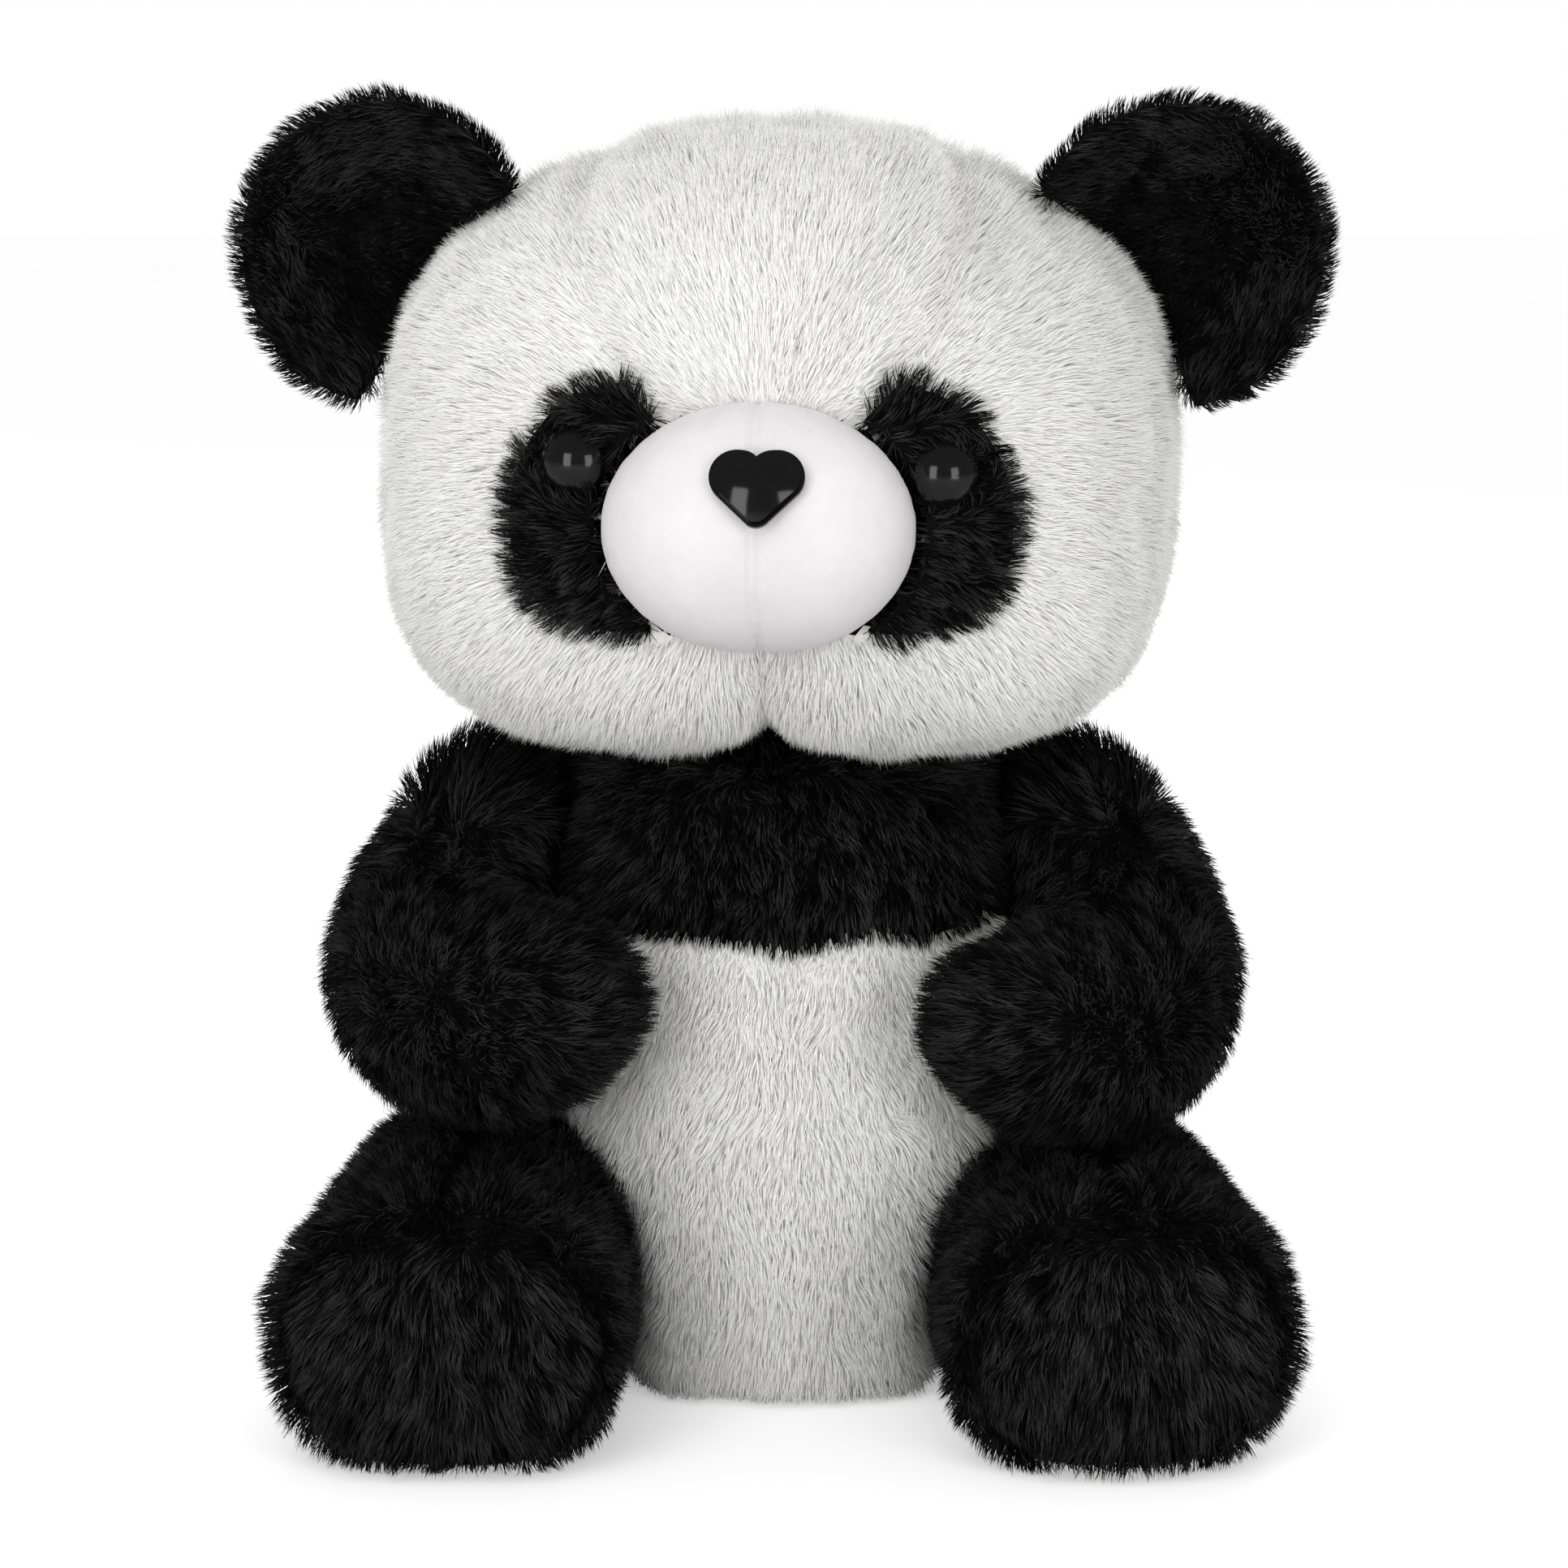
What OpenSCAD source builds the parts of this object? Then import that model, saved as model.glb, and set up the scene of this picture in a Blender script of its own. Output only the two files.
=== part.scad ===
// Sitting plush panda, sewn from fabric panels over stuffing, with plastic eyes and nose.
// Millimetres, +Z up, the face looks along -Y, the origin is on the floor under the middle.
// Each soft body is a closed surface around a centre or along a curved line.
// Its panels are shells cut from that surface, and its stuffing is the same surface pulled in.

/* [Whole toy] */
// Distance of the body's upright centre line behind the origin
body_y = 23.75; // [0:0.05:50]
// Thickness of the plush: backing cloth and the dense root of the pile
fabric = 3; // [1:0.5:6]
// Gap between two panels that are sewn together
seam = 0.4; // [0.1:0.1:2]
// How far the stuffing's surface lies under the panels' outer surface
stuffing_inset = 6; // [4:0.5:12]
// The same for the body, where the legs and arms press dents into it
body_inset = 13; // [6:0.5:16]

/* [Head] */
// Half width of the head
head_a = 108; // [60:1:160]
// Half depth of the head
head_b = 88; // [50:1:140]
// Half height of the head
head_c = 84; // [50:1:140]
// Height of the head's centre
head_z = 278; // [150:1:400]
// How far the face's centre lies in front of the body's centre line
head_forward = 8; // [0:1:40]
// Turn of the resting head towards the panda's right
head_turn = 4; // [-20:1:20]
// Depth of the dent that the seam under the chin pulls in
chin_notch = 0.07; // [0:0.01:0.2]

/* [Muzzle and nose] */
// Half width of the muzzle
muzzle_a = 43; // [20:1:80]
// Half height of the muzzle
muzzle_b = 35; // [15:1:60]
// How far the muzzle stands out from the face
muzzle_depth = 31; // [10:1:60]
// Height of the muzzle's centre above the head's centre
muzzle_z = -20; // [-40:1:20]
// Radius of each of the nose's two upper lobes
nose_lobe = 7.4; // [4:0.1:15]
// Distance of the nose from the middle of the muzzle, towards the panda's left
nose_x = 1.6; // [0:0.1:2]
// Height of the nose above the muzzle's centre
nose_z = 17; // [0:1:30]
// Backward lean of the nose
nose_tilt = 24; // [0:1:60]

/* [Eyes] */
// Diameter of an eye
eye_d = 19; // [10:0.5:30]
// Distance of an eye from the middle of the face
eye_x = 50.4; // [30:0.1:80]
// Height of an eye above the muzzle's centre
eye_z = 17.5; // [0:0.5:40]
// How much lower the left eye sits than the right one
eye_drop = 2.5; // [0:0.5:5]
// Outward turn of an eye
eye_turn = 24; // [0:1:60]
// Diameter of the shanks of the eyes and the nose
shank_d = 4.5; // [2:0.5:8]

/* [Ears] */
// Radius of an ear
ear_r = 43; // [20:1:70]
// Distance of an ear's centre from the middle of the head
ear_x = 111; // [60:1:160]
// Height of an ear's centre
ear_z = 326; // [200:1:420]
// How far an ear's rim stands forward of its centre
ear_cup = 25; // [0:1:40]
// How far the ends of an ear's root curl forward
ear_curl = 24; // [0:1:40]
// Padded thickness of an ear
ear_thick = 9; // [4:0.5:20]

/* [Body] */
// Half width of the body
body_a = 78; // [40:1:120]
// Half depth of the body
body_b = 70; // [40:1:120]
// Height of the body's centre
body_z = 86; // [40:1:140]
// Height of the round top that carries the head
neck_top = 192; // [120:1:260]
// Radius of curvature of that round top
neck_r = 137; // [60:1:200]
// Height of the middle of the line between black chest and white belly
chest_z = 139; // [90:1:170]
// Radius of the flat patch that the toy sits on
base_r = 52; // [30:1:70]

/* [Arms] */
// Height of the shoulder
shoulder_z = 157; // [100:1:180]
// Greatest radius of an arm
arm_r = 29; // [15:1:40]
// How far the panda's left arm hangs lower than its right arm, as an angle
arm_drop = 5; // [0:1:15]

/* [Legs] */
// Height of the hip
hip_z = 43; // [20:1:70]
// Greatest radius of a leg
leg_r = 42; // [20:1:60]
// Half width of a foot
foot_a = 51; // [20:1:70]
// Half height of a foot
foot_b = 38; // [20:1:70]

/* [Tail and label] */
// Radius of the tail
tail_r = 20; // [8:1:40]
// Height of the tail's middle
tail_z = 40; // [15:1:90]
// Width of the sewn-in label that stands out of the seam
label_w = 18; // [8:1:40]
// Height of the label
label_h = 30; // [10:1:60]

/* [Node] */
// The one node to draw, or all of them

/* [Hidden] */
white = [0.93, 0.92, 0.89];
black = [0.06, 0.055, 0.055];
wadding = [0.85, 0.84, 0.8];
gloss_black = [0.02, 0.02, 0.02];
$fn = 64;
far = 10000;
limb_gap = 4;
arm_gap = 2.5;
step = 10;
head_centre = [0, body_y - head_forward, head_z];
body_centre = [0, body_y, body_z];
neck_ball = [0, body_y, neck_top - neck_r];
neck_gap = 2;
// Space between an ear's sheet and the head
ear_gap = 3;
velboa_thick = 2;
seam_half = seam / 2;
// Half of the seam as an angle, at the distance of the head's and body's surfaces
seam_turn = 0.12;
side_seam = 100;
neck_edge = -74;
base_edge = -atan2(body_z, base_r + 1);
crown = 89.5;

// ---------- general helpers ----------

function unit(v) = v / norm(v);
function mix(a, b, t) = a + (b - a) * t;
function heading(turn, rise) = [sin(turn) * cos(rise), -cos(turn) * cos(rise), sin(rise)];
function bezier(p, t) =
  pow(1 - t, 3) * p[0] + 3 * t * pow(1 - t, 2) * p[1] + 3 * t * t * (1 - t) * p[2] + pow(t, 3) * p[3];
function slope(p, t) =
  unit(pow(1 - t, 2) * (p[1] - p[0]) + 2 * t * (1 - t) * (p[2] - p[1]) + t * t * (p[3] - p[2]));

// Distance along the unit direction d from point o to where it enters the ball.
// Around the ball the distance rises by flare for each millimetre of the miss, so a dent has soft edges.
function enter_ball(o, d, centre, r, flare = 100) =
  let (m = centre - o, along = m * d, miss = sqrt(max(0, m * m - along * along)))
  along < 0 ? far : (miss < r ? along - sqrt(r * r - miss * miss) : along + (miss - r) * flare);

// Distance along d from a point inside the ball to where it leaves the ball
function leave_ball(o, d, centre, r) =
  let (m = o - centre, along = m * d)
  -along + sqrt(along * along - m * m + r * r);

// Radius of a rounded box-like egg in direction d: a higher power p gives fuller corners
function egg(d, a, b, c, p) =
  pow(pow(abs(d.x) / a, p) + pow(abs(d.y) / b, p) + pow(abs(d.z) / c, p), -1 / p);

function quad(a, b, c, d) = [[a, b, c], [a, c, d]];
function flat(lists) = [for (list = lists) for (item = list) item];

// A shell between two equal grids of points, closed along all four edges
module shell(outer, inner) {
  rows = len(outer);
  cols = len(outer[0]);
  half = rows * cols;
  function at(r, c, layer) = layer * half + r * cols + c;
  skin = [for (r = [0 : rows - 2]) for (c = [0 : cols - 2]) each concat(
    quad(at(r, c, 0), at(r + 1, c, 0), at(r + 1, c + 1, 0), at(r, c + 1, 0)),
    quad(at(r, c, 1), at(r, c + 1, 1), at(r + 1, c + 1, 1), at(r + 1, c, 1))
  )];
  row_edges = [for (c = [0 : cols - 2]) each concat(
    quad(at(0, c, 0), at(0, c + 1, 0), at(0, c + 1, 1), at(0, c, 1)),
    quad(at(rows - 1, c, 0), at(rows - 1, c, 1), at(rows - 1, c + 1, 1), at(rows - 1, c + 1, 0))
  )];
  col_edges = [for (r = [0 : rows - 2]) each concat(
    quad(at(r, 0, 0), at(r, 0, 1), at(r + 1, 0, 1), at(r + 1, 0, 0)),
    quad(at(r, cols - 1, 0), at(r + 1, cols - 1, 0), at(r + 1, cols - 1, 1), at(r, cols - 1, 1))
  )];
  polyhedron(concat(flat(outer), flat(inner)), concat(skin, row_edges, col_edges), convexity = 8);
}

// A closed solid through rings of points, each end capped by a fan around the ring's middle
module blob(rings) {
  rows = len(rings);
  cols = len(rings[0]);
  last = rows - 1;
  function at(r, c) = r * cols + c % cols;
  function middle(ring) = [for (p = ring) 1] * ring / len(ring);
  sides = [for (r = [0 : rows - 2]) for (c = [0 : cols - 1]) each
    quad(at(r, c), at(r + 1, c), at(r + 1, c + 1), at(r, c + 1))];
  caps = [for (c = [0 : cols - 1]) each
    [[rows * cols, at(0, c), at(0, c + 1)], [rows * cols + 1, at(last, c + 1), at(last, c)]]];
  points = concat(flat(rings), [middle(rings[0]), middle(rings[last])]);
  polyhedron(points, concat(sides, caps), convexity = 8);
}

// A bowl-like shell: its rings run from the rim to the middle on one face and back on the other
module bowl(outer, inner) {
  blob(concat([for (r = [len(outer) - 1 : -1 : 0]) outer[r]], inner));
}

module mirrored(side) {
  if (side > 0) children();
  else mirror([1, 0, 0]) children();
}

// ---------- head ----------

function head_radius(d) = min(
  egg(d, head_a, head_b, head_c, 2.7 - 1.6 * d.z + 0.9 * d.z * d.z) * (1 - 0.03 * d.z)
    * (1 - chin_notch * exp(-pow(d.x / 0.13, 2)) * max(0, -d.z) * max(0, -d.y) * 2),
  enter_ball(head_centre, d, neck_ball, neck_r + neck_gap)
);

function head_point(turn, rise, inset) =
  let (d = heading(turn, rise))
  head_centre + d * (head_radius(d) - inset);

// The Y of the face's surface at a given X and Z, found by aiming at the last result again
function face_y(x, z, tries = 5, y = -head_b) =
  let (d = unit([x, y, z]), hit = d * head_radius(d), next = y * norm(hit) / norm([x, y, z]))
  tries == 0 ? y : face_y(x, z, tries - 1, y * 0.4 + next * 0.6);

function face_point(x, z, lift) = head_centre + [x, face_y(x, z) - lift, z];

// Height angle of the seam between forehead and cheek, by the angle around the head
forehead_seam = [
  [0, 2], [14, 3], [20, 7], [26, 16], [38, 32], [54, 46], [75, 56], [side_seam, 60], [180, 60]
];
function seam_rise(turn) = lookup(abs(turn), forehead_seam);

function head_grid(turns, low, high, rows, inset) = [for (r = [0 : rows]) [for (turn = turns)
  head_point(turn, mix(low(turn), high(turn), r / rows), inset)]];

module head_shell(turns, low, high, rows) {
  shell(head_grid(turns, low, high, rows, 0), head_grid(turns, low, high, rows, fabric));
}

module on_head() {
  translate([0, body_y, 0])
    rotate([0, 0, -head_turn])
      translate([0, -body_y, 0])
        children();
}

module forehead_panel() {
  turns = [for (t = [-side_seam : step : side_seam]) t * (1 - seam_turn / side_seam)];
  color(white) on_head()
    head_shell(turns, function (t) seam_rise(t) + seam_turn, function (t) crown, 9);
}

module cheek_panel(side) {
  turns = [for (t = [0 : step : side_seam]) mix(seam_turn, side_seam - seam_turn, t / side_seam)];
  color(white) on_head() mirrored(side)
    head_shell(turns, function (t) neck_edge, function (t) seam_rise(t) - seam_turn, 13);
}

module head_back_panel(side) {
  turns = [for (k = [0 : 8]) mix(side_seam + seam_turn, 180 - seam_turn, k / 8)];
  color(white) on_head() mirrored(side)
    head_shell(turns, function (t) neck_edge, function (t) crown, 18);
}

module left_cheek_panel() cheek_panel(1);
module right_cheek_panel() cheek_panel(-1);
module left_head_back_panel() head_back_panel(1);
module right_head_back_panel() head_back_panel(-1);

module head_stuffing() {
  color(wadding) on_head()
    blob([for (rise = [-84 : 12 : 84]) [for (turn = [0 : 15 : 345])
      head_point(turn, rise, stuffing_inset)]]);
}

// ---------- muzzle ----------

function oval(around, reach) = [muzzle_a * reach * cos(around), muzzle_z + muzzle_b * reach * sin(around)];

function muzzle_point(around, open, inset) =
  let (
    shrink = 1 - inset / muzzle_b,
    p = oval(around, sin(open) * shrink),
    side_gap = max(p[0], inset == 0 ? seam_half : seam_half + 0.01)
  )
  face_point(side_gap, p[1], 0.5 + (muzzle_depth - inset) * pow(cos(open), 0.8));

module muzzle_panel(side) {
  function grid(inset) = [for (open = [each [87 : -9 : 6], 0.5]) [for (around = [-90 : 12 : 90])
    muzzle_point(around, open, inset)]];
  color([0.96, 0.94, 0.94]) on_head() mirrored(side) shell(grid(0), grid(velboa_thick));
}

module left_muzzle_panel() muzzle_panel(1);
module right_muzzle_panel() muzzle_panel(-1);

module muzzle_stuffing() {
  function spot(around, open) =
    let (p = oval(around, sin(open) * 0.9))
    face_point(p[0], p[1], 0.6 + (muzzle_depth - 4) * pow(cos(open), 0.8));
  color(wadding) on_head()
    blob([for (open = [87 : -9 : 6]) [for (around = [0 : 12 : 348]) spot(around, open)]]);
}

function arc(centre, r, from, to, count) =
  [for (k = [1 : count]) let (a = mix(from, to, k / count)) centre + r * [cos(a), sin(a)]];

// A heart: two round lobes, a small round tip, and straight sides that touch both
module heart(lobe) {
  spread = [lobe * 0.72, 0];
  tip = [0, -lobe * 1.3];
  tip_r = lobe * 0.57;
  run = tip - spread;
  turn = atan2(run.y, run.x) + acos((lobe - tip_r) / norm(run));
  dip = acos(-spread.x / lobe);
  polygon(concat(
    arc(tip, tip_r, -180 - turn, turn, 6),
    arc(spread, lobe, turn, dip, 18),
    arc(-spread, lobe, 180 - dip, 180 - turn, 18)
  ));
}

function nose_seat() = face_point(nose_x, muzzle_z + nose_z, muzzle_depth * 0.92);

module at_nose() {
  on_head() translate(nose_seat()) rotate([90 - nose_tilt, 0, 0]) children();
}

module nose() {
  flange = 1.4;
  dome_r = 22;
  dome_h = 5.5;
  color(gloss_black) at_nose() {
    linear_extrude(flange) heart(nose_lobe);
    intersection() {
      linear_extrude(2 * dome_h) heart(nose_lobe * 0.92);
      translate([0, -2, dome_h - dome_r]) sphere(dome_r);
    }
    translate([0, -2, -16]) cylinder(d = shank_d, h = 16.5);
  }
}

module nose_washer() {
  color([0.9, 0.9, 0.88]) at_nose() translate([0, -2, -9]) washer();
}

module washer() {
  difference() {
    cylinder(d = 14, h = 1.6);
    translate([0, 0, -1]) cylinder(d = shank_d + 0.1, h = 4);
  }
}

// ---------- eyes and their patches ----------

// Reach of the eye patch from the muzzle's centre, in muzzle radii, by the angle around the muzzle
patch_reach = [
  [-50, 1.08], [-44, 1.2], [-37, 1.36], [-26, 1.52], [-17, 1.59], [18, 1.6], [38, 1.57], [52, 1.41]
];

module eye_patch(side) {
  function grid(lift) = [for (r = [0 : 6]) [for (around = [-50 : 8.5 : 52])
    let (p = oval(around, mix(1.04, lookup(around, patch_reach), r / 6)))
    face_point(p[0], p[1], lift)]];
  color(black) on_head() mirrored(side) shell(grid(0.4 + fabric), grid(0.4));
}

module left_eye_patch() eye_patch(1);
module right_eye_patch() eye_patch(-1);

module at_eye(side) {
  on_head() mirrored(side)
    translate(face_point(eye_x, muzzle_z + eye_z - (side > 0 ? eye_drop : 0), fabric + 0.9))
      rotate([86, 0, eye_turn])
        children();
}

module eye(side) {
  dome_h = 6.5;
  dome_r = (pow(eye_d / 2, 2) + dome_h * dome_h) / (2 * dome_h);
  color(gloss_black) at_eye(side) {
    rotate_extrude() intersection() {
      translate([0, dome_h - dome_r + 1]) circle(dome_r);
      translate([0, 0.5]) square([eye_d / 2, dome_h + 1]);
    }
    cylinder(d = eye_d, h = 1);
    translate([0, 0, -18]) cylinder(d = shank_d, h = 18.5);
  }
}

module left_eye() eye(1);
module right_eye() eye(-1);

module eye_washers() {
  color([0.9, 0.9, 0.88])
    for (side = [-1, 1]) at_eye(side) translate([0, 0, -12]) washer();
}

// ---------- ears ----------

ear_root = unit([-0.594, 0, 0.804]);
ear_out = unit([0.804, 0, 0.594]);
ear_centre = [ear_x, body_y - head_forward + 6, ear_z];

// A point of the ear's sheet: s along the root, w away from the head, back behind the front face
function ear_point(s, w, back) =
  let (
    near_root = 1 - min(1, max(0, (w + 28) / 60)),
    forward = ear_cup * (s * s + w * w) / (ear_r * ear_r) + ear_curl * pow(s / ear_r, 2) * near_root
  )
  ear_centre + ear_root * s + ear_out * w + [0, back - forward, 0];

function off_head(p) = let (d = p - head_centre) norm(d) - head_radius(unit(d));

// Longest reach in a direction over the ear's sheet that stays clear of the head, by halving
function ear_reach(around, low = 8, high = ear_r, tries = 8) =
  let (
    half = (low + high) / 2,
    clear = min([for (back = [0, ear_thick])
      off_head(ear_point(half * sin(around), half * cos(around), back))]) > ear_gap
  )
  tries == 0 ? low
    : (clear ? ear_reach(around, half, high, tries - 1) : ear_reach(around, low, half, tries - 1));

ear_step = 12;
ear_turns = [0 : ear_step : 360 - ear_step];
ear_rings = [1, 0.96, 0.88, 0.7, 0.5, 0.3, 0.1];

module ear_sheet(side, depth_out, depth_in) {
  reaches = [for (around = ear_turns) ear_reach(around)];
  function ring(part, depth) = [for (k = [0 : len(reaches) - 1])
    let (around = k * ear_step, reach = reaches[k] * part)
    ear_point(reach * sin(around), reach * cos(around), depth(part))];
  color(black) on_head() mirrored(side)
    bowl([for (part = ear_rings) ring(part, depth_out)], [for (part = ear_rings) ring(part, depth_in)]);
}

function ear_bulge(part) = ear_thick / 2 * sqrt(max(0, 1 - pow(part, 4)));

module ear_front(side) {
  ear_sheet(
    side,
    function (part) ear_thick / 2 - ear_bulge(part) - 0.9,
    function (part) ear_thick / 2 - ear_bulge(part) * 0.2 - 0.3
  );
}

module ear_back(side) {
  ear_sheet(
    side,
    function (part) ear_thick / 2 + ear_bulge(part) * 0.2 + 0.3,
    function (part) ear_thick / 2 + ear_bulge(part) + 0.9
  );
}

module left_ear_front() ear_front(1);
module left_ear_back() ear_back(1);
module right_ear_front() ear_front(-1);
module right_ear_back() ear_back(-1);

// ---------- arms and legs as curved tubes ----------

arm_line = [
  [63, body_y + 4, shoulder_z + 14],
  [112, body_y - 4, shoulder_z - 35],
  [112, body_y - 84, shoulder_z - 59],
  [42, body_y - 88, shoulder_z - 27]
];
leg_line = [
  [74, body_y - 2, hip_z],
  [86, body_y - 44, hip_z - 2],
  [92, body_y - 90, hip_z - 5],
  [93, body_y - 133, hip_z - 6]
];

// Rounds a tube's ends: 1 along most of it, falling to 0 at both ends
function ends(t, first, last) =
  t < first ? sqrt(max(0, 1 - pow(1 - t / first, 2))) :
  t > 1 - last ? sqrt(max(0, 1 - pow(1 - (1 - t) / last, 2))) : 1;

function arm_size(t) = (arm_r - 2 + 2 * sin(180 * min(1, t * 1.1))) * ends(t, 0.14, 0.2);
function leg_width(t) = mix(leg_r - 1, foot_a, pow(max(0, t - 0.55) / 0.45, 2)) * ends(t, 0.2, 0.12);
function leg_height(t) = mix(leg_r - 3, foot_b, pow(max(0, t - 0.55) / 0.45, 2)) * ends(t, 0.2, 0.12);

// Fuller corners for a round section, the lower the power the squarer
function fuller(v, power) = sign(v) * pow(abs(v), power);

// A point on a tube around the line: around 0 looks outwards, 90 looks up
function tube_point(line, t, around, wide, high, inset, floor, power) =
  let (
    along = slope(line, t),
    side = unit(cross([0, 0, 1], along)) * -1,
    up = cross(along, side) * -1,
    w = max(0.3, wide - inset),
    h = max(0.3, high - inset),
    p = bezier(line, t) + side * w * fuller(cos(around), power) + up * h * fuller(sin(around), power)
  )
  [p.x, p.y, max(p.z, floor)];

function arm_point(t, around, inset) =
  tube_point(arm_line, t, around, arm_size(t), arm_size(t), inset, -far, 1);
function leg_point(t, around, inset) =
  tube_point(leg_line, t, around, leg_width(t), leg_height(t), inset, inset == 0 ? 0 : inset, 0.84);

arm_steps = [
  0.0004, 0.01, 0.04, 0.08, 0.14, 0.24, 0.34, 0.44, 0.54, 0.64, 0.73, 0.8, 0.87, 0.93, 0.97, 0.992, 0.9996
];
leg_steps = [0.0006, 0.015, 0.05, 0.1, 0.2, 0.3, 0.4, 0.5, 0.6, 0.7, 0.78, 0.84, 0.88, 0.92];
sole_steps = [0.925, 0.95, 0.97, 0.985, 0.995, 0.9995];

module with_arm(side) {
  mirrored(side)
    translate([0, body_y, shoulder_z])
      rotate([side * arm_drop / 2, 0, 0])
        translate([0, -body_y, -shoulder_z])
          children();
}

module half_tube(steps, spot, from) {
  turns = [for (k = [0 : 9]) from + mix(0.4, 179.6, k / 9)];
  shell(
    [for (t = steps) [for (around = turns) spot(t, around, 0)]],
    [for (t = steps) [for (around = turns) spot(t, around, fabric)]]
  );
}

module arm_half(side, from) {
  color(black) with_arm(side)
    half_tube(arm_steps, function (t, around, inset) arm_point(t, around, inset), from);
}

module arm_stuffing(side) {
  color(wadding) with_arm(side)
    blob([for (t = [0.03, each [for (k = [1 : 12]) k / 13], 0.97]) [for (around = [0 : 20 : 340])
      arm_point(t, around, stuffing_inset)]]);
}

module left_arm_outer_panel() arm_half(1, -90);
module left_arm_inner_panel() arm_half(1, 90);
module left_arm_stuffing() arm_stuffing(1);
module right_arm_outer_panel() arm_half(-1, -90);
module right_arm_inner_panel() arm_half(-1, 90);
module right_arm_stuffing() arm_stuffing(-1);

module leg_half(side, from) {
  color(black) mirrored(side)
    half_tube(leg_steps, function (t, around, inset) leg_point(t, around, inset), from);
}

module sole(side) {
  function rings(inset) = [for (t = sole_steps) [for (around = [0 : 15 : 345])
    let (p = leg_point(t, around, inset), rim = sole_steps[0])
    [p.x, p.y + inset * (t - rim) / (1 - rim), p.z]]];
  color(black) mirrored(side) bowl(rings(0), rings(fabric));
}

module leg_stuffing(side) {
  color(wadding) mirrored(side)
    blob([for (t = [0.06, 0.1, each [for (k = [2 : 11]) k / 13], 0.88]) [for (around = [0 : 20 : 340])
      leg_point(t, around, stuffing_inset)]]);
}

module left_leg_outer_panel() leg_half(1, -90);
module left_leg_inner_panel() leg_half(1, 90);
module left_sole() sole(1);
module left_leg_stuffing() leg_stuffing(1);
module right_leg_outer_panel() leg_half(-1, -90);
module right_leg_inner_panel() leg_half(-1, 90);
module right_sole() sole(-1);
module right_leg_stuffing() leg_stuffing(-1);

// ---------- body ----------

// The balls that limbs sweep through, which the body's surface keeps clear of
limb_balls = [
  each [for (t = [0 : 0.1 : 0.9]) [bezier(leg_line, t), max(leg_width(t), leg_height(t)) + limb_gap]],
  each [for (t = [0 : 0.1 : 0.9]) [bezier(arm_line, t), arm_size(t) + arm_gap]]
];

function body_radius(d) =
  let (side_d = [abs(d.x), d.y, d.z])
  min(
    egg(d, body_a, body_b, d.z > 0 ? 135 : 125, 2.3) * (1 - 0.06 * d.z),
    leave_ball(body_centre, d, neck_ball, neck_r),
    d.z < 0 ? -body_z / d.z : far,
    min([for (ball = limb_balls) enter_ball(body_centre, side_d, ball[0], ball[1], 3)])
  );

function body_point(turn, rise, inset) =
  let (d = heading(turn, rise))
  body_centre + d * (body_radius(d) - inset);

// Height angle of the black and white border, a little wavy at the front
function border_rise(turn) =
  let (wave = 2.5 * cos(turn * 9) * exp(-pow(turn / 60, 2)), drop = 4 * exp(-pow((abs(turn) - 45) / 30, 2)))
  atan2(chest_z - body_z - wave - drop, body_b - 3);

function body_grid(turns, low, high, rows, inset) = [for (r = [0 : rows]) [for (turn = turns)
  body_point(turn, mix(low(turn), high(turn), r / rows), inset)]];

module body_shell(turns, low, high, rows) {
  shell(body_grid(turns, low, high, rows, 0), body_grid(turns, low, high, rows, fabric));
}

front_turns = [for (k = [0 : 18]) mix(-90 + seam_turn, 90 - seam_turn, k / 18)];
back_turns = [for (k = [0 : 9]) mix(90 + seam_turn, 180 - seam_turn, k / 9)];

module chest_panel() {
  color(black)
    body_shell(front_turns, function (t) border_rise(t) + seam_turn, function (t) -neck_edge, 7);
}

module belly_panel() {
  color(white)
    body_shell(front_turns, function (t) base_edge, function (t) border_rise(t) - seam_turn, 14);
}

module upper_back_panel(side) {
  color(black) mirrored(side)
    body_shell(back_turns, function (t) border_rise(t) + seam_turn, function (t) -neck_edge, 7);
}

module lower_back_panel(side) {
  color(white) mirrored(side)
    body_shell(back_turns, function (t) base_edge, function (t) border_rise(t) - seam_turn, 14);
}

module left_upper_back_panel() upper_back_panel(1);
module right_upper_back_panel() upper_back_panel(-1);
module left_lower_back_panel() lower_back_panel(1);
module right_lower_back_panel() lower_back_panel(-1);

module base_panel() {
  color(white) translate([0, body_y, 0]) cylinder(r = base_r - 1.5, h = fabric);
}

module body_stuffing() {
  color(wadding)
    blob([for (rise = [-84 : 12 : 84]) [for (turn = [0 : step : 350])
      body_point(turn, rise, body_inset)]]);
}

module tail() {
  height = 15;
  curve_r = (tail_r * tail_r + height * height) / (2 * height);
  color(white)
    translate([0, body_y + body_b + 0.9, tail_z])
      rotate([-90, 0, 0])
        rotate_extrude() intersection() {
          translate([0, height - curve_r]) circle(curve_r);
          square([tail_r, height]);
        }
}

module care_label() {
  color([0.95, 0.95, 0.93])
    translate(body_point(140, -18, 0))
      rotate([0, 0, 50])
        translate([0.5, -0.3, -label_h / 2])
          cube([label_w, 0.6, label_h]);
}

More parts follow.
